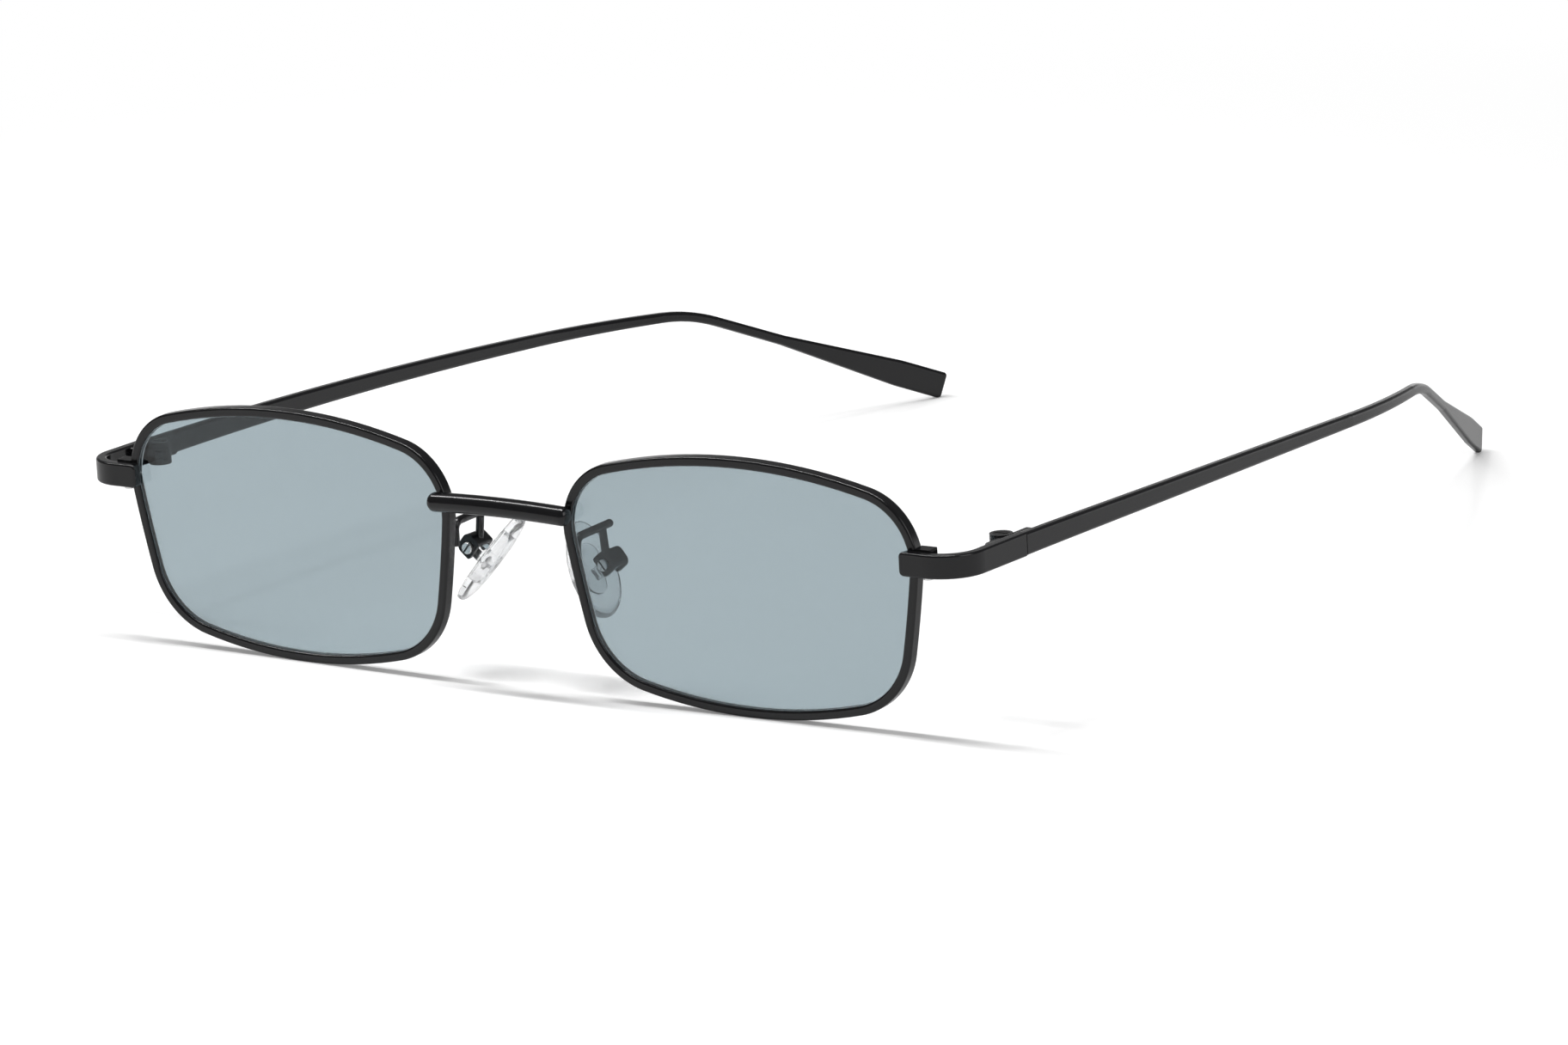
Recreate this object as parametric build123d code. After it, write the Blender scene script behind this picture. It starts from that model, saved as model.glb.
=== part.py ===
from build123d import *
import math
import os

# Narrow rectangle sunglasses, all sizes in millimetres.
# +X is the wearer's left, +Y runs back along the temples, +Z is up.
# The pair stands as on a table, temples open, on its two rims and its two temple tips.

# Rim outline, measured from the middle of one eye in the plane of the rim
brow_half_width = 25.9
brow_height = 11.45
brow_crown = 4.45
cheek_half_width = 21.7
cheek_depth = 12.25
cheek_crown = 3.65
side_bulge = 0.42
brow_corner_radius = 8.65
cheek_corner_radius = 10.25

# Rim wire, and the lens seated in its groove
rim_band = 1.15
rim_depth = 1.65
rim_edge_radius = 0.3
groove_depth = 0.45
groove_land = 0.1
lens_thickness = 1.2
lens_recess = 0.3
lens_play = 0.04

# How the two rims stand to each other and to the face
rim_gap = 17.04
face_wrap = 1.7
front_tilt = 2.8

# Bridge bar, lapped on the front of both rims
bridge_diameter = 2.4
bridge_lap = 1.65
bridge_level = 7.0
bridge_seat_sink = 0.2
bridge_arch = 0.35
bridge_bow = 0.3
bridge_end_radius = 0.9

# End pieces, flat strips lapped on the front of the rims
strip_height = 2.9
strip_thickness = 1.35
strip_level = 5.5
strip_lap = 1.75
strip_outreach = 6.95
strip_bend_radius = 5.2
strip_edge_radius = 0.28
strip_corner_radius = 0.6
seam_y = 13.1
seam_gap = 0.14

# Rim locks, which close each split rim behind its end piece
rim_split = 0.24
lock_width = 2.0
lock_height = 1.55
lock_edge_radius = 0.22
lock_screw_radius = 0.4
lock_head_radius = 0.66
lock_head_height = 0.4
lock_thread_share = 0.7

# Temple hinges, three knuckles round an upright screw
barrel_radius = 1.4
barrel_height = 2.8
barrel_stand_off = 0.08
barrel_ahead_of_seam = 1.1
middle_knuckle_height = 0.95
knuckle_gap = 0.06
leaf_thickness = 0.7
leaf_height = 2.5
front_leaf_length = 4.6
temple_leaf_length = 4.4
hinge_pin_radius = 0.55
hinge_head_radius = 0.95
hinge_head_height = 0.36
turning_clearance = 0.05
thread_clearance = 0.02

# Temples, flat bars that narrow to a wire, hook behind the ear and end in a paddle
temple_root_height = 2.8
temple_thickness = 1.3
temple_wire_height = 1.3
temple_edge_radius = 0.4
temple_straight = 11.7
bow_radius = 690.0
bow_angle = 5.4
hook_radius = 110.0
hook_angle = 15.9
temple_arch = 0.75
bend_y = 115.0
bend_z = 17.85
ear_reach = 37.0
bend_radius_share = 0.65
paddle_height = 3.5
paddle_thickness = 1.0
flare_start_share = 0.36
flare_end_share = 0.82
flare_radius_share = 0.38
tip_corner_radius = 0.45
tip_settle = 0.02

# Pad arms, bent wires with a short drop to the pad clips
arm_wire = 1.0
arm_inset = 0.65
arm_level = 3.88
arm_foot_length = 2.95
arm_bar_rise = 0.25
arm_bar_end_y = 8.3
arm_bend_radius = 1.1
arm_seat_sink = 0.1
stem_wire = 1.0
stem_y = 6.3

# Pad clips, folded boxes that lean with the pads
pad_lean = 40.0
clip_outset = 1.05
clip_drop = 4.15
clip_sheet = 0.45
clip_length = 2.9
clip_above = 1.5
clip_below = 1.2
clip_behind = 1.4
clip_ahead = 0.95
clip_fold_radius = 0.85
clip_corner_radius = 0.35

# Nose pads, each moulded over a stiff core and rocking on its screw
pad_half_length = 6.6
pad_half_width = 3.6
pad_thickness = 1.8
pad_edge_radius = 0.85
pad_stand_off = 2.75
pad_raise = 0.9
pad_forward = 0.4
pad_splay = 15.0
pad_rake = 22.0
core_half_length = 3.4
core_half_width = 1.3
core_thickness = 0.45
lug_width = 1.5
pad_screw_radius = 0.4
pad_head_radius = 0.72
pad_head_height = 0.42
screw_edge_radius = 0.12

# Screwdriver slots, and how far any cut runs past its work
slot_width = 0.24
slot_depth = 0.18
overrun = 1.0


# Rims and lenses
def bulged_disc(start, end, bulge, inset):
    """The disc whose edge swells past the chord between two points, drawn in all round by the inset."""
    a = Vector(*start)
    b = Vector(*end)
    half = (b - a).length / 2
    radius = (half ** 2 + bulge ** 2) / (2 * bulge)
    along = (b - a).normalized()
    out = Vector(along.Y, -along.X)
    centre = (a + b) * 0.5 - out * (radius - bulge)
    return Pos(centre.X, centre.Y) * Circle(radius - inset)


def rim_outline(inset):
    """The rim's outer edge, or a line that runs inside it at an even distance."""
    brow_out = (brow_half_width, brow_height)
    brow_in = (-brow_half_width, brow_height)
    cheek_out = (cheek_half_width, -cheek_depth)
    cheek_in = (-cheek_half_width, -cheek_depth)
    face = bulged_disc(cheek_in, cheek_out, cheek_crown, inset)
    face &= bulged_disc(cheek_out, brow_out, side_bulge, inset)
    face &= bulged_disc(brow_out, brow_in, brow_crown, inset)
    face &= bulged_disc(brow_in, cheek_in, side_bulge, inset)
    face = fillet(face.vertices().group_by(Axis.Y)[-1], brow_corner_radius - inset)
    return fillet(face.vertices().group_by(Axis.Y)[0], cheek_corner_radius - inset)


outline = rim_outline(0)
tilt = math.radians(front_tilt)
wrap = math.radians(face_wrap)
eye_centre_x = rim_gap / 2 + outline.bounding_box().max.X * math.cos(wrap)
lowest_v = cheek_depth + cheek_crown - rim_edge_radius
eye_centre_z = lowest_v * math.cos(tilt) + rim_edge_radius * (1 - math.sin(tilt))

# The wearer's left rim: x to the temple, y up, z out of the front face at its front plane
rim_front = Plane(
    origin=(eye_centre_x, 0, eye_centre_z),
    x_dir=(math.cos(wrap), math.sin(wrap), 0),
    z_dir=(math.sin(wrap) * math.cos(tilt), -math.cos(wrap) * math.cos(tilt), -math.sin(tilt)),
)
groove_level = -(lens_recess + lens_thickness / 2)


def rim_reach(level):
    """How far the outline reaches sideways at one height."""
    slice_at = Pos(0, level) * Rectangle(4 * brow_half_width, rim_split)
    return (outline & slice_at).bounding_box().max.X


def nose_side_x(level):
    """Where the rim's nose side stands at one height."""
    return eye_centre_x - rim_reach(level) * math.cos(wrap)


def front_y(x, z):
    """How far back the rim's front plane lies at a place seen from the front."""
    normal = rim_front.z_dir
    return -((x - eye_centre_x) * normal.X + (z - eye_centre_z) * normal.Z) / normal.Y


def groove_wheel(play):
    """A disc with a bevelled edge: cut from the rim it leaves the groove, added it edges the lens."""
    reach = groove_depth + lens_play
    disc = extrude(rim_outline(rim_band - groove_depth + play), reach + groove_land / 2, both=True)
    levels = disc.edges().group_by(Axis.Z)
    disc = chamfer(levels[0] + levels[-1], reach)
    return Pos(0, 0, groove_level) * disc


def make_rim():
    """A drawn wire band with rounded edges, a lens groove and a split behind the end piece."""
    ring = extrude(outline - rim_outline(rim_band), -rim_depth)
    levels = ring.edges().group_by(Axis.Z)
    ring = fillet(levels[0] + levels[-1], rim_edge_radius)
    ring -= groove_wheel(0)
    split = Box(4 * rim_band, rim_split, rim_depth + 2 * overrun)
    return ring - Pos(rim_reach(strip_level), strip_level, -rim_depth / 2) * split


def make_lens():
    """A flat tinted plate with a V-shaped edge."""
    plate = extrude(rim_outline(rim_band + lens_play), -lens_thickness)
    return Pos(0, 0, -lens_recess) * plate + groove_wheel(lens_play)


rim = rim_front * make_rim()
lens = rim_front * make_lens()


# Bridge
def lap_cut(inner, outer):
    """Everything behind the rim's front plane, between two distances from the eye's middle."""
    reach = rim_depth + strip_thickness + overrun
    block = Box(outer - inner, 2 * (brow_height + cheek_depth), reach)
    return rim_front * Pos((inner + outer) / 2, 0, -reach / 2) * block


def make_bridge():
    """A round bar, slightly arched, with domed ends and a flat seat on each rim."""
    radius = bridge_diameter / 2
    height = eye_centre_z + bridge_level
    half_length = nose_side_x(bridge_level) + bridge_lap
    end_y = front_y(half_length, height) - radius + bridge_seat_sink
    path = ThreePointArc(
        (-half_length, end_y, height),
        (0, end_y - bridge_bow, height + bridge_arch),
        (half_length, end_y, height),
    )
    bar = sweep(Plane(origin=path @ 0, z_dir=path % 0) * Circle(radius), path)
    ends = bar.edges().group_by(Axis.X)
    bar = fillet(ends[0] + ends[-1], bridge_end_radius)
    seat = lap_cut(-rim_reach(bridge_level), bridge_diameter - rim_reach(bridge_level))
    return bar - seat - mirror(seat, about=Plane.YZ)


# End pieces
strip_z = eye_centre_z + strip_level
rim_edge_x = eye_centre_x + rim_reach(strip_level) * math.cos(wrap)
strip_front_y = front_y(rim_edge_x, strip_z) - strip_thickness
strip_outer_x = rim_edge_x + strip_outreach
strip_inner_x = strip_outer_x - strip_thickness


def make_end_piece():
    """A flat strip, its rounded inner end lapped on the rim, bent back to the hinge."""
    inner_x = rim_edge_x - strip_lap
    back_y = strip_front_y + strip_thickness
    ell = make_face(Polyline(
        (inner_x, strip_front_y),
        (strip_outer_x, strip_front_y),
        (strip_outer_x, seam_y),
        (strip_inner_x, seam_y),
        (strip_inner_x, back_y),
        (inner_x, back_y),
        (inner_x, strip_front_y),
    ))
    corners = ell.vertices()
    outer = corners.sort_by_distance((strip_outer_x, strip_front_y))[0]
    ell = fillet(outer, strip_bend_radius)
    inner = ell.vertices().sort_by_distance((strip_inner_x, back_y))[0]
    ell = fillet(inner, strip_bend_radius - strip_thickness)
    strip = extrude(ell, strip_height / 2, both=True)
    end_edges = strip.edges().filter_by(Axis.Y).group_by(Axis.X)[0]
    strip = fillet(end_edges, strip_corner_radius)
    seam = strip.faces().group_by(Axis.Y)[-1].edges()
    rails = strip.edges().group_by(Axis.Z)
    rails = [edge for edge in rails[0] + rails[-1] if edge not in seam]
    strip = fillet(rails, strip_edge_radius)
    strip = Pos(0, 0, strip_z) * strip
    return strip - lap_cut(0, rim_reach(strip_level))


# Rim locks
def make_rim_lock(end_piece):
    """Two small blocks outside the rim's split, and the screw that pulls them together."""
    reach = rim_reach(strip_level)
    rim_body = extrude(outline, -rim_depth)
    width = lock_width + rim_band
    foot = strip_level - rim_split / 2 - lock_height
    shank_length = lock_height * (1 + lock_thread_share) + rim_split
    screw_foot = Pos(reach + lock_width / 2, foot, -rim_depth / 2) * Rot(X=-90)
    upright = (Align.CENTER, Align.CENTER, Align.MIN)
    blocks = []
    for side, play in ((1, thread_clearance), (-1, turning_clearance)):
        block = Box(width, lock_height, rim_depth)
        block = fillet(block.edges().group_by(Axis.X)[-1], lock_edge_radius)
        height = strip_level + side * (rim_split + lock_height) / 2
        block = Pos(reach + lock_width - width / 2, height, -rim_depth / 2) * block
        bore = Cylinder(lock_screw_radius + play, shank_length + thread_clearance, align=upright)
        block = rim_front * (block - rim_body - screw_foot * bore)
        blocks.append(block - end_piece)
    head = Cylinder(lock_head_radius, lock_head_height, align=upright)
    slot = Box(2 * lock_head_radius, slot_width, 2 * slot_depth)
    screw = Cylinder(lock_screw_radius, shank_length, align=upright) + Pos(0, 0, -lock_head_height) * (head - slot)
    return blocks[0], blocks[1], rim_front * screw_foot * screw


# Temple hinges
hinge_x = strip_inner_x - barrel_stand_off - barrel_radius
hinge_y = seam_y - barrel_ahead_of_seam
hinge_at = Pos(hinge_x, hinge_y, strip_z)
outer_knuckle_height = (barrel_height - middle_knuckle_height) / 2 - knuckle_gap
outer_knuckle_z = (barrel_height - outer_knuckle_height) / 2
turning_radius = barrel_radius + turning_clearance


def make_leaf(wall, start, end):
    """A hinge plate lying against a wall beside the axis, between two distances along the temple."""
    plate = Box(leaf_thickness, end - start, leaf_height)
    return Pos(wall - leaf_thickness / 2, (start + end) / 2, 0) * plate


def make_front_hinge():
    """The plate on the end piece with the upper and lower knuckles."""
    leaf = make_leaf(strip_inner_x - hinge_x, -front_leaf_length, 0)
    far_edges = leaf.edges().filter_by(Axis.X).group_by(Axis.Y)[0]
    leaf = fillet(far_edges, leaf_thickness / 2)
    passage = Box(4 * barrel_radius, 2 * turning_radius, middle_knuckle_height + 2 * knuckle_gap)
    leaf -= passage
    for side in (1, -1):
        leaf += Pos(0, 0, side * outer_knuckle_z) * Cylinder(barrel_radius, outer_knuckle_height)
    top_bore = Cylinder(hinge_pin_radius + turning_clearance, barrel_height)
    low_bore = Cylinder(hinge_pin_radius + thread_clearance, barrel_height)
    recess = Cylinder(hinge_head_radius + turning_clearance, 2 * (hinge_head_height + turning_clearance))
    leaf -= Pos(0, 0, barrel_height / 2) * (top_bore + recess)
    return hinge_at * (leaf - Pos(0, 0, -barrel_height / 2) * low_bore)


def make_temple_hinge():
    """The plate on the temple with the middle knuckle, which turns between the other two."""
    wall = strip_outer_x - temple_thickness - hinge_x
    start = barrel_ahead_of_seam + seam_gap
    leaf = make_leaf(wall, start, temple_leaf_length)
    far_edges = leaf.edges().filter_by(Axis.X).group_by(Axis.Y)[-1]
    leaf = fillet(far_edges, leaf_thickness / 2)
    leaf -= Cylinder(turning_radius, barrel_height)
    web_width = barrel_radius + leaf_thickness - wall
    web = Box(web_width, start + leaf_thickness, middle_knuckle_height)
    web = Pos(barrel_radius - web_width / 2, (start + leaf_thickness) / 2, 0) * web
    leaf += Cylinder(barrel_radius, middle_knuckle_height) + web
    bore = Cylinder(hinge_pin_radius + turning_clearance, barrel_height)
    return hinge_at * (leaf - bore)


def make_hinge_screw():
    """A slotted screw, its head let into the upper knuckle."""
    top = barrel_height / 2
    shank = Cylinder(hinge_pin_radius, barrel_height)
    head = Pos(0, 0, top - hinge_head_height / 2) * Cylinder(hinge_head_radius, hinge_head_height)
    slot = Pos(0, 0, top) * Box(2 * hinge_head_radius, slot_width, 2 * slot_depth)
    return hinge_at * (shank + head - slot)


# Temples
def round_corner(face, point, radius):
    """Round the corner of a flat face nearest to a point."""
    return fillet(face.vertices().sort_by_distance(point)[0], radius)


def temple_plan():
    """The temple from above: straight, bowed inward, hooked in, then straight to the tip."""
    root_x = strip_outer_x - temple_thickness / 2
    tip_y = bend_y + ear_reach
    sides = []
    for side in (1, -1):
        half = side * temple_thickness / 2
        start = (root_x + half, seam_y + seam_gap)
        straight = Line(start, (root_x + half, seam_y + temple_straight))
        bow = JernArc(straight @ 1, straight % 1, bow_radius + half, bow_angle)
        hook = JernArc(bow @ 1, bow % 1, hook_radius + half, hook_angle)
        heading = hook % 1
        length = (tip_y + overrun - (hook @ 1).Y) / heading.Y
        taper = side * (temple_thickness - paddle_thickness) / 2
        end = hook @ 1 + heading * length - Vector(heading.Y, -heading.X) * taper
        sides.append([straight, bow, hook, Line(hook @ 1, end)])
    outer, inner = sides
    caps = [Line(outer[0] @ 0, inner[0] @ 0), Line(outer[-1] @ 1, inner[-1] @ 1)]
    heading = (outer[2] % 1 + inner[2] % 1) * 0.5
    tip = (outer[-1] @ 1 + inner[-1] @ 1) * 0.5 - heading * (overrun / heading.Y)
    return make_face(outer + inner + caps), tip, heading


def make_temple():
    """The plan and the side view, crossed, with the long edges rounded."""
    plan, plan_tip, heading = temple_plan()
    seat = tip_corner_radius
    fall = math.atan2(bend_z - paddle_height / 2, ear_reach)
    tip_z = (paddle_height / 2 - seat) * math.cos(fall) + seat * (1 - math.sin(fall)) - tip_settle
    fall = math.atan2(bend_z - tip_z, ear_reach)
    along = Vector(math.cos(fall), -math.sin(fall))
    up = Vector(math.sin(fall), math.cos(fall))
    bend = Vector(bend_y, bend_z)
    ear_length = math.hypot(ear_reach, bend_z - tip_z)
    chains = []
    corners = []
    for side in (1, -1):
        half_wire = side * temple_wire_height / 2
        half_paddle = side * paddle_height / 2
        root = Vector(seam_y + seam_gap, strip_z + side * temple_root_height / 2)
        knee = bend + Vector(0, half_wire)
        middle = (root + knee) * 0.5 + Vector(0, temple_arch)
        flare_start = bend + along * (ear_length * flare_start_share) + up * half_wire
        flare_end = bend + along * (ear_length * flare_end_share) + up * half_paddle
        beyond = bend + along * (ear_length + 2 * overrun) + up * half_paddle
        chains.append([
            ThreePointArc(root, middle, knee),
            Line(knee, flare_start),
            Line(flare_start, flare_end),
            Line(flare_end, beyond),
        ])
        corners.append((knee, bend_radius_share * ear_reach + half_wire))
        corners.append((flare_start, flare_radius_share * ear_reach))
        corners.append((flare_end, flare_radius_share * ear_reach))
    top, bottom = chains
    caps = [Line(top[0] @ 0, bottom[0] @ 0), Line(top[-1] @ 1, bottom[-1] @ 1)]
    profile = make_face(top + bottom + caps)
    for point, radius in corners:
        profile = round_corner(profile, point, radius)
    side_view = extrude(Plane.YZ * profile, strip_outer_x + overrun, dir=(1, 0, 0))
    temple = side_view & extrude(plan, 2 * strip_z, dir=(0, 0, 1))
    ear = Vector(heading.X, heading.Y, -math.tan(fall) * heading.Y).normalized()
    tip_cut = Plane(origin=(plan_tip.X, plan_tip.Y, tip_z), x_dir=(heading.Y, -heading.X, 0), z_dir=ear)
    size = 2 * paddle_height
    temple -= tip_cut * Pos(0, 0, size / 2) * Box(size, size, size)
    end_face = temple.faces().sort_by(Axis((0, 0, 0), ear))[-1]
    corners = [edge for edge in end_face.edges() if edge.length < (paddle_height + paddle_thickness) / 2]
    temple = fillet(corners, tip_corner_radius)
    seam_face = temple.faces().sort_by(Axis.Y)[0]
    seam_edges = seam_face.edges()
    return fillet([edge for edge in temple.edges() if edge not in seam_edges], temple_edge_radius)


# Pad arms
arm_x = nose_side_x(arm_level) + arm_inset
arm_bar_height = eye_centre_z + arm_level
clip_x = arm_x + clip_outset
clip_z = arm_bar_height - clip_drop
clip_frame = Plane(
    origin=(clip_x, stem_y, clip_z),
    x_dir=(-math.sin(math.radians(pad_lean)), 0, math.cos(math.radians(pad_lean))),
    z_dir=(0, -1, 0),
)


def clip_outline():
    """The clip seen along its screw: x up beside the pad, y towards the nose."""
    height = clip_above + clip_below
    depth = clip_behind + clip_ahead
    sheet = Pos((clip_above - clip_below) / 2, (clip_ahead - clip_behind) / 2) * Rectangle(height, depth)
    sheet = fillet(sheet.vertices().group_by(Axis.Y)[0], clip_fold_radius)
    return fillet(sheet.vertices().group_by(Axis.Y)[-1], clip_corner_radius)


def make_pad_arm():
    """A wire brazed upright behind the rim, bent back to a bar, with a short drop to the clip."""
    radius = arm_wire / 2
    foot_y = front_y(arm_x, arm_bar_height) + rim_depth + radius - arm_seat_sink
    route = FilletPolyline(
        (arm_x, foot_y, arm_bar_height - arm_foot_length),
        (arm_x, foot_y, arm_bar_height),
        (arm_x, arm_bar_end_y - radius, arm_bar_height + arm_bar_rise),
        radius=arm_bend_radius,
    )
    arm = sweep(Plane(origin=route @ 0, z_dir=route % 0) * Circle(radius), route)
    arm += Pos(*(route @ 1)) * Sphere(radius)
    top = Vector(arm_x, stem_y, arm_bar_height + arm_bar_rise / 2)
    clip_top = clip_frame.from_local_coords(Vector(clip_above - clip_sheet, 0, 0))
    drop = clip_top - top
    arm += Plane(origin=top + drop * 0.5, z_dir=drop) * Cylinder(stem_wire / 2, drop.length)
    clip_block = clip_frame * extrude(clip_outline(), clip_length / 2, both=True)
    return arm - rim - clip_block


# Pad clips and screws
def make_pad_clip():
    """A folded box, open below and towards the pad, drilled through both cheeks."""
    block = extrude(clip_outline(), clip_length / 2, both=True)
    inside_height = clip_above + clip_below - clip_sheet + overrun
    inside_depth = clip_behind + clip_ahead - clip_sheet + overrun
    inside = Box(inside_height, inside_depth, clip_length - 2 * clip_sheet)
    block -= Pos(clip_above - clip_sheet - inside_height / 2, clip_sheet - clip_behind + inside_depth / 2, 0) * inside
    upright = (Align.CENTER, Align.CENTER, Align.MIN)
    front_bore = Cylinder(pad_screw_radius + turning_clearance, clip_length, align=upright)
    rear_bore = Cylinder(pad_screw_radius + thread_clearance, clip_length)
    return clip_frame * (block - front_bore - Pos(0, 0, -clip_length / 2) * rear_bore)


def make_pad_screw():
    """A slotted screw from the front cheek to the rear one."""
    upright = (Align.CENTER, Align.CENTER, Align.MIN)
    shank = Pos(0, 0, -clip_length / 2) * Cylinder(pad_screw_radius, clip_length, align=upright)
    head = Cylinder(pad_head_radius, pad_head_height, align=upright)
    head = fillet(head.edges().group_by(Axis.Z)[-1], screw_edge_radius)
    slot = Pos(0, 0, pad_head_height) * Box(2 * pad_head_radius, slot_width, 2 * slot_depth)
    return clip_frame * (shank + Pos(0, 0, clip_length / 2) * (head - slot))


# Nose pads
pad_place = (
    clip_frame.location
    * Pos(pad_raise, pad_stand_off, pad_forward)
    * Rot(X=-90 - pad_splay)
    * Rot(Z=pad_rake)
)


def make_pad_mount():
    """The stiff core inside the pad, with the lug that turns on the screw."""
    core = pad_place * extrude(SlotOverall(2 * core_half_length, 2 * core_half_width), core_thickness / 2, both=True)
    lug_thickness = clip_length - 2 * clip_sheet - 2 * turning_clearance
    tab = Rectangle(lug_width, pad_stand_off)
    tab = Pos(0, pad_stand_off / 2) * tab + Circle(lug_width / 2)
    lug = clip_frame * extrude(tab, lug_thickness / 2, both=True)
    bore = clip_frame * Cylinder(pad_screw_radius + turning_clearance, clip_length)
    return core + lug - bore


def make_nose_pad(mount):
    """A soft clear oval moulded over the core."""
    oval = extrude(Ellipse(pad_half_length, pad_half_width), pad_thickness / 2, both=True)
    oval = fillet(oval.edges(), pad_edge_radius)
    return pad_place * oval - mount


sided = {"rim": rim, "lens": lens}
sided["end_piece"] = make_end_piece()
upper, lower, screw = make_rim_lock(sided["end_piece"])
sided["rim_lock_upper"] = upper
sided["rim_lock_lower"] = lower
sided["rim_lock_screw"] = screw
sided["front_hinge"] = make_front_hinge()
sided["temple_hinge"] = make_temple_hinge()
sided["hinge_screw"] = make_hinge_screw()
sided["temple"] = make_temple()
sided["pad_arm"] = make_pad_arm()
sided["pad_clip"] = make_pad_clip()
sided["pad_screw"] = make_pad_screw()
sided["pad_mount"] = make_pad_mount()
sided["nose_pad"] = make_nose_pad(sided["pad_mount"])

bridge = make_bridge()
parts = {"bridge": bridge}
for name, piece in sided.items():
    parts[name + "_left"] = piece
    parts[name + "_right"] = mirror(piece, about=Plane.YZ)

# The origin lies on the table, under the middle of the pair
middle_y = (bridge.bounding_box().min.Y + sided["temple"].bounding_box().max.Y) / 2
os.makedirs("parts", exist_ok=True)
for name, piece in parts.items():
    piece = Pos(0, -middle_y, 0) * piece
    export_step(piece, "parts/" + name + ".step")
    print(name, round(piece.volume, 3), "mm3")
print("temple hinge axis at", round(hinge_x, 3), round(hinge_y - middle_y, 3), round(strip_z, 3))
print("pad screw axis at", round(clip_x, 3), round(stem_y - middle_y, 3), round(clip_z, 3))
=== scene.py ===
# %% [markdown]
# # Narrow rectangle sunglasses
#
# A black wire frame with two grey tinted lenses, a round bar bridge, clear nose pads and thin
# folding temples, standing open on a white table as in a catalogue picture.
#
# The solid model already holds every metal part at its true size, so this lesson is mostly about
# finishes: satin lacquer, tinted plates with ground edges, clear silicone and small steel screws.
# Everything is in metres. +X is the wearer's left, +Y runs back along the temples, +Z is up.

import math

import bpy
from mathutils import Matrix, Vector


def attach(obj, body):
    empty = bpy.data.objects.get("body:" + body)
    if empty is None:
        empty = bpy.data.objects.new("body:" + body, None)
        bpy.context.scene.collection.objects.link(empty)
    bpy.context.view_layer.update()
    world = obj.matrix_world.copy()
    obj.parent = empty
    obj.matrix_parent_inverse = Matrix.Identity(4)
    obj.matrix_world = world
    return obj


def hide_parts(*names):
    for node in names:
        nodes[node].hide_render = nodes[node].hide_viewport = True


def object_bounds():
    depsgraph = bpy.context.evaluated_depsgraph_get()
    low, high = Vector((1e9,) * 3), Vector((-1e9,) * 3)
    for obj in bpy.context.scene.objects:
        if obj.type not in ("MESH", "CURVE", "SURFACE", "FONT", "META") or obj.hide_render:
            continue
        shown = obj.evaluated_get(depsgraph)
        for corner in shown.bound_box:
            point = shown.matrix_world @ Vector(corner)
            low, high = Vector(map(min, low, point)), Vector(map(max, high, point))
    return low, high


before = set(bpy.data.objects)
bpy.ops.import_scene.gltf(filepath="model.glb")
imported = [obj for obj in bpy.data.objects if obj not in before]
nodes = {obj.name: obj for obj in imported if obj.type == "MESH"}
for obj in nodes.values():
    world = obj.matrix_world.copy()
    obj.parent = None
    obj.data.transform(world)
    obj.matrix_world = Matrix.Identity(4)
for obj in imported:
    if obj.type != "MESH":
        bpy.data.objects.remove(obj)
cad_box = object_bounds()
size_mm = [round((high - low) * 1000, 1) for low, high in zip(*cad_box)]
print("The pair is", size_mm, "mm in", len(nodes), "pieces")

# %% [markdown]
# ## Small helpers for node graphs
#
# A finish is a graph of nodes. It could be wired by hand each time, but the same few steps come
# back in every finish: add a node and fill in its values, stretch a value from one range to
# another, and mix two colours or two shaders. Each of them is one short function here, so the
# finishes below read almost like recipes.

# %% Helpers that add nodes


def add_node(tree, kind, **values):
    """Add a node; a value named after a socket is set on it, any other on the node itself."""
    node = tree.nodes.new(kind)
    for name, value in values.items():
        socket_name = name.replace("_", " ")
        if socket_name in node.inputs:
            node.inputs[socket_name].default_value = value
        else:
            setattr(node, name, value)
    return node


def add_range(tree, value, start, end, low=0.0, high=1.0, curve="LINEAR"):
    """Stretch a value that runs from start to end, so that it runs from low to high."""
    node = add_node(
        tree, "ShaderNodeMapRange", interpolation_type=curve,
        From_Min=start, From_Max=end, To_Min=low, To_Max=high,
    )
    tree.links.new(value, node.inputs["Value"])
    return node.outputs["Result"]


def add_math(tree, operation, *values):
    """Work out one value from one or two others."""
    node = add_node(tree, "ShaderNodeMath", operation=operation)
    for value, socket in zip(values, node.inputs):
        tree.links.new(value, socket)
    return node.outputs["Value"]


def add_axis(tree, vector, axis):
    """Take the X, Y or Z part of a vector."""
    node = add_node(tree, "ShaderNodeSeparateXYZ")
    tree.links.new(vector, node.inputs["Vector"])
    return node.outputs[axis]


def add_blend(tree, share, first, second):
    """Blend from one colour to another by a share that changes over the surface."""
    node = add_node(tree, "ShaderNodeMix", data_type="RGBA", A=(*first, 1), B=(*second, 1))
    tree.links.new(share, node.inputs["Factor"])
    return node.outputs["Result"]


def add_bump(tree, height, strength, distance):
    """Turn a height into a normal."""
    node = add_node(tree, "ShaderNodeBump", Strength=strength, Distance=distance)
    tree.links.new(height, node.inputs["Height"])
    return node.outputs["Normal"]


def add_mix(tree, share, first, second):
    """Mix two shaders."""
    node = add_node(tree, "ShaderNodeMixShader")
    for value, socket in zip((share, first, second), node.inputs):
        tree.links.new(value, socket)
    return node.outputs["Shader"]


print("Node helpers ready")

# %% Helpers that make finishes and groups


def open_graph(thing):
    """Turn on the node graph of a material or a world and empty it."""
    thing.use_nodes = True
    thing.node_tree.nodes.clear()
    return thing.node_tree


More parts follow.
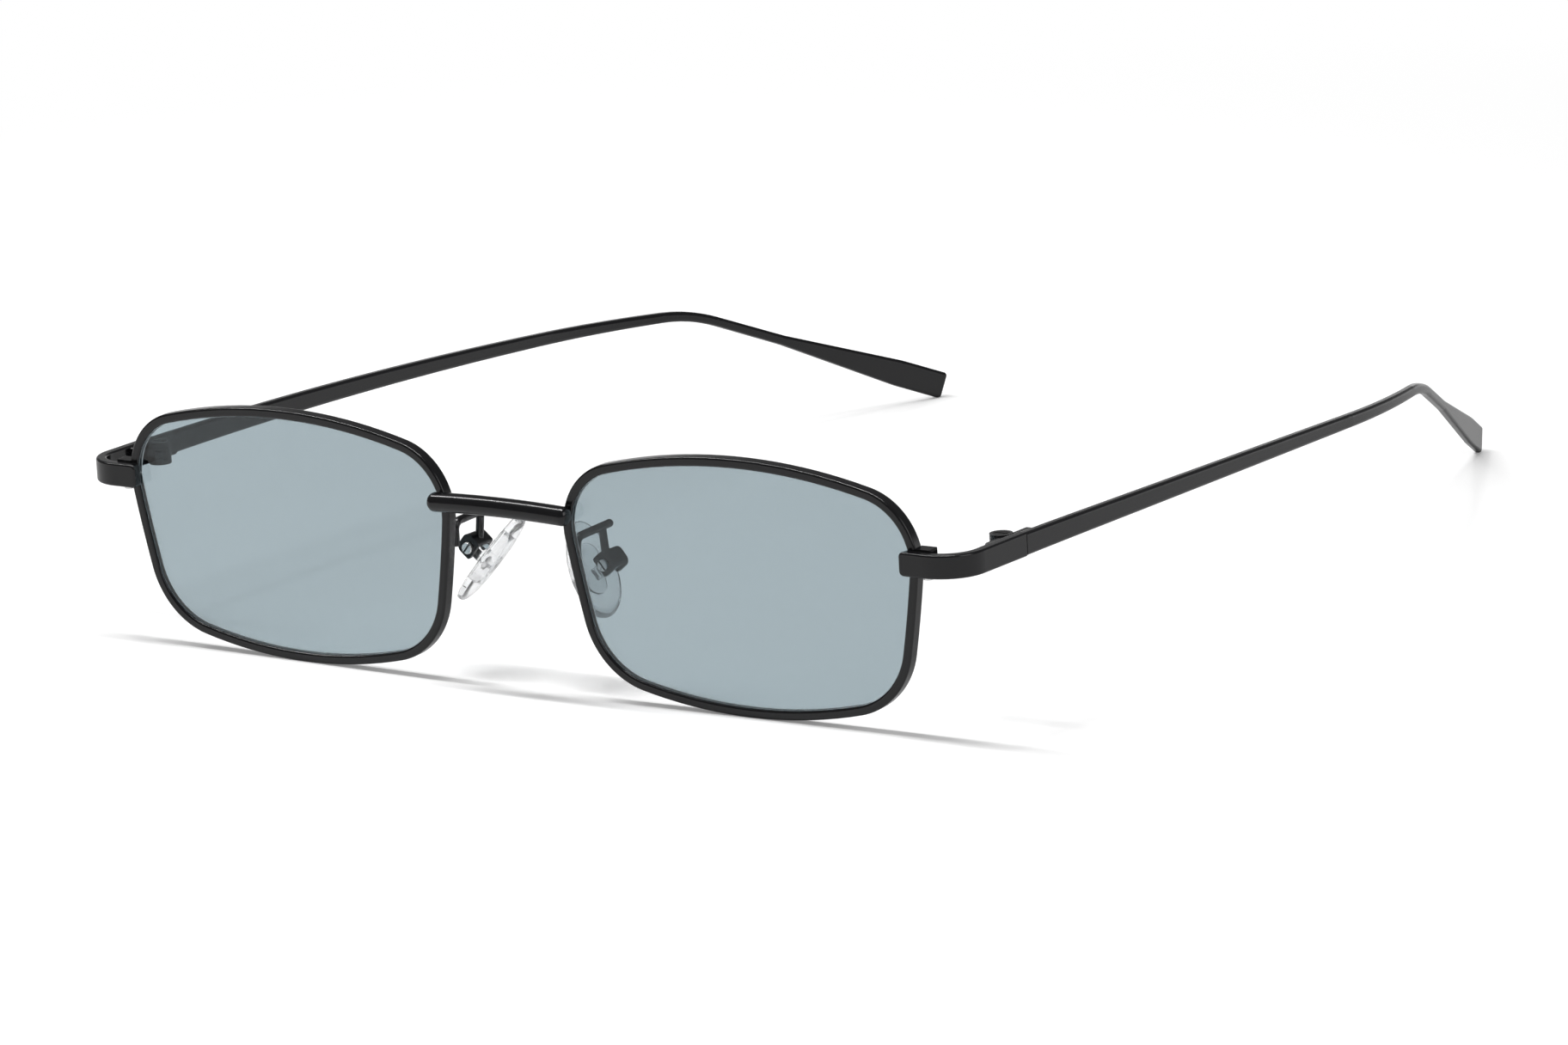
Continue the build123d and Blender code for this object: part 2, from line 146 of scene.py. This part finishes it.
def new_finish(name):
    """A material with one Principled shader; returns the material, its graph and the shader."""
    finish = bpy.data.materials.new(name)
    tree = open_graph(finish)
    shader = add_node(tree, "ShaderNodeBsdfPrincipled")
    output = add_node(tree, "ShaderNodeOutputMaterial")
    tree.links.new(shader.outputs["BSDF"], output.inputs["Surface"])
    return finish, tree, shader


def new_group(name, inputs, outputs):
    """A shader node group with float inputs {name: default} and float outputs [name]."""
    group = bpy.data.node_groups.new(name, "ShaderNodeTree")
    for label, default in inputs.items():
        socket = group.interface.new_socket(label, in_out="INPUT", socket_type="NodeSocketFloat")
        socket.default_value = default
    for label in outputs:
        group.interface.new_socket(label, in_out="OUTPUT", socket_type="NodeSocketFloat")
    entry = add_node(group, "NodeGroupInput")
    leave = add_node(group, "NodeGroupOutput")
    return group, entry, leave


def place_group(tree, group, **values):
    """Place a node group in a material with its own values."""
    return add_node(tree, "ShaderNodeGroup", node_tree=group, **values)


def give_finish(finish, *names):
    """Put one finish on the left and right piece of each name, or on a single piece."""
    for name in names:
        for piece in (name, name + "_left", name + "_right"):
            if piece in nodes:
                mesh = nodes[piece].data
                mesh.materials.clear()
                mesh.materials.append(finish)


print("Finish helpers ready")

# %% [markdown]
# ## Fine unevenness
#
# No sprayed or polished surface is perfectly even. Sprayed lacquer has a very fine pebbled skin,
# and its gloss wanders a little from place to place. The frame, the screws and the pads all need
# some of this, in different amounts, so it is built once as a node group that gives two values: a
# height for a Bump node and a patchy value between 0 and 1 for the roughness.

# %% Node group for fine unevenness
unevenness, entry, leave = new_group(
    "Fine unevenness", {"Grain per metre": 3000.0, "Patches per metre": 120.0}, ["Height", "Patch"]
)
place = add_node(unevenness, "ShaderNodeTexCoord").outputs["Object"]
for size, detail, roughness, result in (
    ("Grain per metre", 2.0, 0.5, "Height"),
    ("Patches per metre", 3.0, 0.6, "Patch"),
):
    noise = add_node(unevenness, "ShaderNodeTexNoise", Detail=detail, Roughness=roughness)
    unevenness.links.new(place, noise.inputs["Vector"])
    unevenness.links.new(entry.outputs[size], noise.inputs["Scale"])
    unevenness.links.new(noise.outputs["Fac"], leave.inputs[result])
print("Group", unevenness.name, "gives", [socket.name for socket in leave.inputs if socket.name])

# %% [markdown]
# ## Rubbed edges
#
# Lacquer is thinnest on edges, where handling polishes it first. A Bevel node bends the normal
# near an edge, so comparing it with the true normal finds the edges: the dot product drops below 1
# there. The group turns that into a mask from 0 on flat parts to 1 on sharp edges.

# %% Node group for rubbed edges
edge_rub, entry, leave = new_group("Rubbed edges", {"Amount": 0.5}, ["Mask"])
bent = add_node(edge_rub, "ShaderNodeBevel", samples=4, Radius=0.00018)
unbent = add_node(edge_rub, "ShaderNodeNewGeometry")
match = add_node(edge_rub, "ShaderNodeVectorMath", operation="DOT_PRODUCT")
edge_rub.links.new(bent.outputs["Normal"], match.inputs[0])
edge_rub.links.new(unbent.outputs["Normal"], match.inputs[1])
edges = add_range(edge_rub, match.outputs["Value"], 0.99, 0.8)
mask = add_math(edge_rub, "MULTIPLY", edges, entry.outputs["Amount"])
edge_rub.links.new(mask, leave.inputs["Mask"])
print("Group", edge_rub.name, "gives", [socket.name for socket in leave.inputs if socket.name])

# %% [markdown]
# ## Satin black lacquer
#
# The wire rims, the bridge, the end pieces and the temples are sprayed satin black after brazing.
# The paint hides the metal, so it is a plain non-metal: a nearly black colour, a fairly low
# roughness that wanders with the patches, a weak fine bump, and edges a shade lighter. The hinge
# screws wear a matt coat of their own, made by the same function.

# %% Lacquer finish


def make_lacquer(name, colour, edge_colour, roughness, edge_amount):
    """A sprayed paint whose edges are rubbed a little lighter."""
    finish, tree, shader = new_finish(name)
    uneven = place_group(tree, unevenness, Grain_per_metre=4200.0, Patches_per_metre=160.0)
    rubbed = place_group(tree, edge_rub, Amount=edge_amount)
    tint = add_blend(tree, rubbed.outputs["Mask"], colour, edge_colour)
    tree.links.new(tint, shader.inputs["Base Color"])
    wander = 0.04
    gloss = add_range(
        tree, uneven.outputs["Patch"], 0.0, 1.0, roughness - wander, roughness + wander
    )
    tree.links.new(gloss, shader.inputs["Roughness"])
    skin = add_bump(tree, uneven.outputs["Height"], 0.12, 0.00001)
    tree.links.new(skin, shader.inputs["Normal"])
    return finish


lacquer = make_lacquer(
    "Satin black lacquer", colour=(0.005, 0.005, 0.006), edge_colour=(0.020, 0.020, 0.022),
    roughness=0.19, edge_amount=0.6,
)
give_finish(
    lacquer, "rim", "bridge", "end_piece", "rim_lock_upper", "rim_lock_lower", "front_hinge",
    "temple_hinge", "temple", "pad_arm", "pad_clip",
)
screw_lacquer = make_lacquer(
    "Matt dark screw", colour=(0.003, 0.003, 0.003), edge_colour=(0.02, 0.02, 0.02),
    roughness=0.55, edge_amount=0.5,
)
give_finish(screw_lacquer, "hinge_screw")
print("Lacquered", lacquer.users, "pieces and", screw_lacquer.users, "screws")

# %% [markdown]
# ## Bright steel screws
#
# The pad screws and the lock screws are bare turned steel. A metal has no colour of its own apart
# from its reflection, so Metallic is 1 and the roughness does most of the work. A node that finds
# hollows darkens the colour in the slot: this is painted shade.

# %% Screw finish
steel, tree, shader = new_finish("Bright turned steel")
shader.inputs["Metallic"].default_value = 1.0
# Painted shade: the occlusion node darkens the colour in the slot and other hollows.
hollows = add_node(
    tree, "ShaderNodeAmbientOcclusion", samples=8, only_local=True, Distance=0.0005
)
unshaded = add_range(tree, hollows.outputs["AO"], 0.55, 0.9)
painted_slot_shade = add_blend(tree, unshaded, (0.05, 0.05, 0.05), (0.9, 0.9, 0.9))
tree.links.new(painted_slot_shade, shader.inputs["Base Color"])
uneven = place_group(tree, unevenness, Grain_per_metre=6000.0, Patches_per_metre=900.0)
gloss = add_range(tree, uneven.outputs["Patch"], 0.0, 1.0, 0.2, 0.36)
tree.links.new(gloss, shader.inputs["Roughness"])
give_finish(steel, "pad_screw", "rim_lock_screw")
print("Steel on", steel.users, "screws")

# %% [markdown]
# ## Tinted lenses
#
# Each lens is a flat plate of grey plastic, dyed right through. Glass in the Principled shader
# takes half of its colour on the way in and half on the way out, so Base Color is simply the
# colour that white has behind the lens. The rim of the plate was ground to a V and left matt, so
# it is paler than the polished faces. The normal in the object's own axes tells the two apart: on
# the faces it points straight forward or back, on the ground edge it points sideways.

# %% Lens finish
tint, tree, shader = new_finish("Grey tinted lens")
shader.inputs["Transmission Weight"].default_value = 1.0
shader.inputs["IOR"].default_value = 1.5
facing = add_node(tree, "ShaderNodeTexCoord").outputs["Normal"]
forward = add_math(tree, "ABSOLUTE", add_axis(tree, facing, "Y"))
ground = add_range(tree, forward, 0.97, 0.9)
colour = add_blend(tree, ground, (0.313, 0.38, 0.409), (0.62, 0.68, 0.71))
tree.links.new(colour, shader.inputs["Base Color"])
matt = add_range(tree, ground, 0.0, 1.0, 0.0, 0.6)
tree.links.new(matt, shader.inputs["Roughness"])
give_finish(tint, "lens")
print("Tint on", tint.users, "lenses")

# %% [markdown]
# ## Nose pads
#
# Each pad is an oval of soft clear silicone, moulded round a stiff clear core. The side that
# touches the nose is domed, the back is nearly flat, and the lower end is a little fuller. The
# solid model only holds a plain oval there, so the pad is made again here: rings of points run
# from the middle of the domed face, round the edge, to the middle of the back. The cross-section
# is a superellipse, in which a smaller power gives a flatter face and a tighter edge.

# %% Pad sizes and the place of the left pad
pad_half_length = 0.0065
pad_half_width = 0.0033725
pad_dome_height = 0.0012
pad_back_depth = 0.00088
pad_edge_power = 0.62
pad_dome_power = 0.85
pad_back_power = 0.5
pad_lower_fullness = 0.07

pad_screw_at = (0.010314, -0.068214, 0.015597)
pad_from_screw = (0.0009, 0.00275, 0.0004)
pad_lean = math.radians(40)
pad_tilt = math.radians(-105)
pad_twist = math.radians(22)
clip_axes = Matrix((
    (-math.sin(pad_lean), -math.cos(pad_lean), 0),
    (0, 0, -1),
    (math.cos(pad_lean), -math.sin(pad_lean), 0),
)).to_4x4()
pad_place = (
    Matrix.Translation(pad_screw_at)
    @ clip_axes
    @ Matrix.Translation(pad_from_screw)
    @ Matrix.Rotation(pad_tilt, 4, "X")
    @ Matrix.Rotation(pad_twist, 4, "Z")
)
print("Pad middle at", [round(value * 1000, 2) for value in pad_place.translation], "mm")

# %% Shape of one ring


def pad_ring(turn, count):
    """Points of one ring; turn is 0 in the middle of the dome and 1 in the middle of the back."""
    angle = turn * math.pi
    reach = math.sin(angle) ** pad_edge_power
    side = math.cos(angle)
    if side > 0:
        level = side**pad_dome_power * pad_dome_height
    else:
        level = -(abs(side)**pad_back_power) * pad_back_depth
    ring = []
    for step in range(count):
        around = 2 * math.pi * step / count
        along = math.cos(around) * reach
        across = math.sin(around) * reach * (1 - pad_lower_fullness * along)
        ring.append((along * pad_half_length, across * pad_half_width, level))
    return ring


half_way_mm = max(point[0] for point in pad_ring(0.5, 8)) * 1000
print("A ring half way round reaches", round(half_way_mm, 2), "mm")

# %% Build a pad on each side


def make_pad(name, mirrored):
    """One closed pad mesh at its place, mirrored for the right side."""
    count, rings = 48, 16
    points = [(0, 0, pad_dome_height)]
    for step in range(1, rings):
        points += pad_ring(step / rings, count)
    points.append((0, 0, -pad_back_depth))
    last = len(points) - 1
    faces = [(0, 1 + step, 1 + (step + 1) % count) for step in range(count)]
    for row in range(rings - 2):
        first, second = 1 + row * count, 1 + (row + 1) * count
        for step in range(count):
            after = (step + 1) % count
            faces.append((first + step, second + step, second + after, first + after))
    edge = 1 + (rings - 2) * count
    faces += [(edge + step, last, edge + (step + 1) % count) for step in range(count)]
    flip = -1 if mirrored else 1
    placed = [pad_place @ Vector(point) for point in points]
    mesh = bpy.data.meshes.new(name)
    mesh.from_pydata([(flip * point.x, point.y, point.z) for point in placed], [], faces)
    if mirrored:
        mesh.flip_normals()
    mesh.shade_smooth()
    pad = bpy.data.objects.new(name, mesh)
    bpy.context.scene.collection.objects.link(pad)
    return pad


soft_pads = {}
for side in ("left", "right"):
    pad = make_pad("silicone_pad_" + side, side == "right")
    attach(pad, "pad_" + side)
    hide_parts("nose_pad_" + side)
    soft_pads[side] = pad
print("Pads:", [pad.name for pad in soft_pads.values()])

# %% [markdown]
# ## Clear silicone and its core
#
# The silicone and the stiff core are both nearly glass to the shader, and the silicone bends light
# less. Neither is quite clear: a small part of their body scatters light, which is why real pads
# look a little milky. Their surfaces are not optical either, so a faint waviness and a little haze
# break up what is seen through them.

# %% Pad finishes


def make_clear(name, colour, clearness, refraction, roughness, wave):
    """A clear moulding with a slightly wavy, hazy skin."""
    finish, tree, shader = new_finish(name)
    shader.inputs["Base Color"].default_value = (*colour, 1)
    shader.inputs["Transmission Weight"].default_value = clearness
    shader.inputs["IOR"].default_value = refraction
    uneven = place_group(tree, unevenness, Grain_per_metre=700.0, Patches_per_metre=300.0)
    haze = add_range(tree, uneven.outputs["Patch"], 0.0, 1.0, roughness * 0.5, roughness * 1.5)
    tree.links.new(haze, shader.inputs["Roughness"])
    skin = add_bump(tree, uneven.outputs["Height"], wave, 0.0002)
    tree.links.new(skin, shader.inputs["Normal"])
    return finish


silicone = make_clear(
    "Clear silicone", colour=(0.925, 0.93, 0.935), clearness=0.92, refraction=1.38,
    roughness=0.05, wave=0.1,
)
core_plastic = make_clear(
    "Clear stiff plastic", colour=(0.95, 0.955, 0.96), clearness=0.95, refraction=1.44,
    roughness=0.05, wave=0.22,
)
for pad in soft_pads.values():
    pad.data.materials.append(silicone)
give_finish(silicone, "nose_pad")
give_finish(core_plastic, "pad_mount")
print("Clear mouldings:", silicone.users, "pads and", core_plastic.users, "cores")

# %% [markdown]
# ## White table
#
# The picture has a pure white ground with thin shadows where the frame touches it. Near the frame
# the table is a real white surface that takes shadows. Further out it fades into a plain glow of
# strength 1, seen by the camera and through the lenses, so that no edge or dark corner shows. In
# the gloss of the lacquer the table is a light grey, or its white would wash out the black from
# below. Only its far end is white in gloss as well, as if the paper had a lamp of its own there.
# That is what makes the temples grow lighter towards their tips.

# %% Helpers for light that depends on the kind of ray
plain_white = (1, 1, 1, 1)


def add_sight(tree):
    """Two shares: seen directly or through glass, and seen in gloss."""
    rays = add_node(tree, "ShaderNodeLightPath").outputs
    seen = add_math(tree, "MAXIMUM", rays["Is Camera Ray"], rays["Is Transmission Ray"])
    return seen, rays["Is Glossy Ray"]


def add_glow(tree, strength):
    """Plain white light given off by a surface."""
    return add_node(
        tree, "ShaderNodeEmission", Color=plain_white, Strength=strength
    ).outputs["Emission"]


def add_paper(tree, brightness):
    """A plain matt surface."""
    colour = (brightness, brightness, brightness, 1)
    return add_node(tree, "ShaderNodeBsdfDiffuse", Color=colour).outputs["BSDF"]


print("White is", plain_white[:3])

# %% Table
table_half_size = 4.0
square = [(-1, -1), (1, -1), (1, 1), (-1, 1)]
table_mesh = bpy.data.meshes.new("table")
table_mesh.from_pydata(
    [(x * table_half_size, y * table_half_size, 0) for x, y in square], [], [(0, 1, 2, 3)]
)
table = bpy.data.objects.new("table", table_mesh)
bpy.context.scene.collection.objects.link(table)
print("Table", 2 * table_half_size, "m wide")

# %% Table surface
white = bpy.data.materials.new("White table")
tree = open_graph(white)
seen, in_gloss = add_sight(tree)
spot = add_node(tree, "ShaderNodeTexCoord").outputs["Object"]
paper = add_paper(tree, 0.92)
glow = add_glow(tree, 1.0)

lifted = add_node(tree, "ShaderNodeAddShader")
tree.links.new(paper, lifted.inputs[0])
tree.links.new(add_glow(tree, 0.19), lifted.inputs[1])
distance = add_node(tree, "ShaderNodeVectorMath", operation="LENGTH")
tree.links.new(spot, distance.inputs[0])
far_out = add_range(tree, distance.outputs["Value"], 0.14, 0.34)
for_the_eye = add_mix(tree, far_out, lifted.outputs["Shader"], glow)

far_back = add_range(tree, add_axis(tree, spot, "Y"), 0.05, 0.3, curve="SMOOTHSTEP")
for_gloss = add_mix(tree, far_back, add_paper(tree, 0.66), glow)
for_the_rest = add_mix(tree, in_gloss, paper, for_gloss)
surface = add_mix(tree, seen, for_the_rest, for_the_eye)
output = add_node(tree, "ShaderNodeOutputMaterial")
tree.links.new(surface, output.inputs["Surface"])
table_mesh.materials.append(white)
print("Table surface has", len(tree.nodes), "nodes")

# %% [markdown]
# ## Studio light
#
# In a product studio the white paper of the table curves up a little behind the object, and the
# rest of the room is kept dark, so that gloss shows clear light and dark bands. Here the world
# plays that room. The camera and the glass see it as white. Gloss sees the low paper behind, and a
# dark room in front and above. The light it really gives is a dim even fill, so it hardly shades
# the table.

# %% World
dark_room = 0.15
white_paper = 1.0
world = bpy.data.worlds.new("Studio")
bpy.context.scene.world = world
tree = open_graph(world)
seen, in_gloss = add_sight(tree)
fill = add_node(tree, "ShaderNodeBackground", Color=plain_white, Strength=0.2)
sweep = add_node(tree, "ShaderNodeBackground", Color=plain_white)
backdrop = add_node(tree, "ShaderNodeBackground", Color=plain_white, Strength=1.0)

heading = add_node(tree, "ShaderNodeTexCoord").outputs["Generated"]
behind = add_range(tree, add_axis(tree, heading, "Y"), 0.3, 0.85, curve="SMOOTHSTEP")
low_down = add_range(tree, add_axis(tree, heading, "Z"), 0.27, 0.03, curve="SMOOTHSTEP")
on_paper = add_math(tree, "MULTIPLY", behind, low_down)
brightness = add_range(tree, on_paper, 0.0, 1.0, dark_room, white_paper)
tree.links.new(brightness, sweep.inputs["Strength"])

for_the_rest = add_mix(tree, in_gloss, fill.outputs["Background"], sweep.outputs["Background"])
surface = add_mix(tree, seen, for_the_rest, backdrop.outputs["Background"])
output = add_node(tree, "ShaderNodeOutputWorld")
tree.links.new(surface, output.inputs["Surface"])
print("World", world.name, "has", len(tree.nodes), "nodes")

# %% [markdown]
# ## Three soft lamps
#
# A narrow key lamp hangs straight above the front, so each rim's shadow is a thin line under it. A
# long thin strip, in line with it and further to the wearer's right, draws the bright line on the
# upper side of the round wires. A wide weak lamp at the other side fills the outer faces.

# %% Lamps
front_y = -0.115
lamp_height = 0.9


def add_softbox(name, centre, target, width, depth, power):
    """A rectangular soft lamp at a place, aimed at a point."""
    lamp = bpy.data.lights.new(name, "AREA")
    lamp.shape = "RECTANGLE"
    lamp.size = width
    lamp.size_y = depth
    lamp.energy = power
    holder = bpy.data.objects.new(name, lamp)
    holder.location = centre
    aim = Vector(target) - Vector(centre)
    holder.rotation_euler = aim.to_track_quat("-Z", "Y").to_euler()
    bpy.context.scene.collection.objects.link(holder)
    return holder


add_softbox(
    "key softbox", (0.0, front_y, lamp_height), (0.0, front_y, 0.0),
    width=0.5, depth=0.05, power=3.75,
)
add_softbox(
    "strip softbox", (-0.6, front_y, lamp_height), (-0.6, front_y, 0.0),
    width=0.9, depth=0.05, power=5.3,
)
add_softbox(
    "side softbox", (0.9, -0.15, 0.45), (0.0, 0.0, 0.01),
    width=0.5, depth=0.6, power=1.8,
)

# %% [markdown]
# ## Camera
#
# The photograph was taken from the wearer's front left, a little above, with a long lens and the
# camera turned slightly. Its angles and distance are given values, and the axes follow from
# them: back points from the object to the camera, right and up span the picture.

# %% Camera place and axes
azimuth = math.radians(35.861)
elevation = math.radians(13.407)
roll = math.radians(-3.125)
distance_to_target = 1.1458
target = Vector((0.04026, -0.074514, 0.0246))
back = Vector((
    math.sin(azimuth) * math.cos(elevation),
    -math.cos(azimuth) * math.cos(elevation),
    math.sin(elevation),
))
level_right = Vector((math.cos(azimuth), math.sin(azimuth), 0))
level_up = back.cross(level_right)
right = level_right * math.cos(roll) + level_up * math.sin(roll)
up = level_up * math.cos(roll) - level_right * math.sin(roll)
position = target + back * distance_to_target
print("Camera at", [round(value, 3) for value in position])

# %% Camera
camera_data = bpy.data.cameras.new("camera")
camera_data.sensor_fit = "HORIZONTAL"
camera_data.sensor_width = 36.0
camera_data.lens = 224.98
camera = bpy.data.objects.new("camera", camera_data)
axes = Matrix((right, up, back)).transposed().to_4x4()
camera.matrix_world = Matrix.Translation(position) @ axes
bpy.context.scene.collection.objects.link(camera)
bpy.context.scene.camera = camera
bpy.context.scene.view_settings.view_transform = "Standard"
print("Lens", camera_data.lens, "mm on a sensor", camera_data.sensor_width, "mm wide")
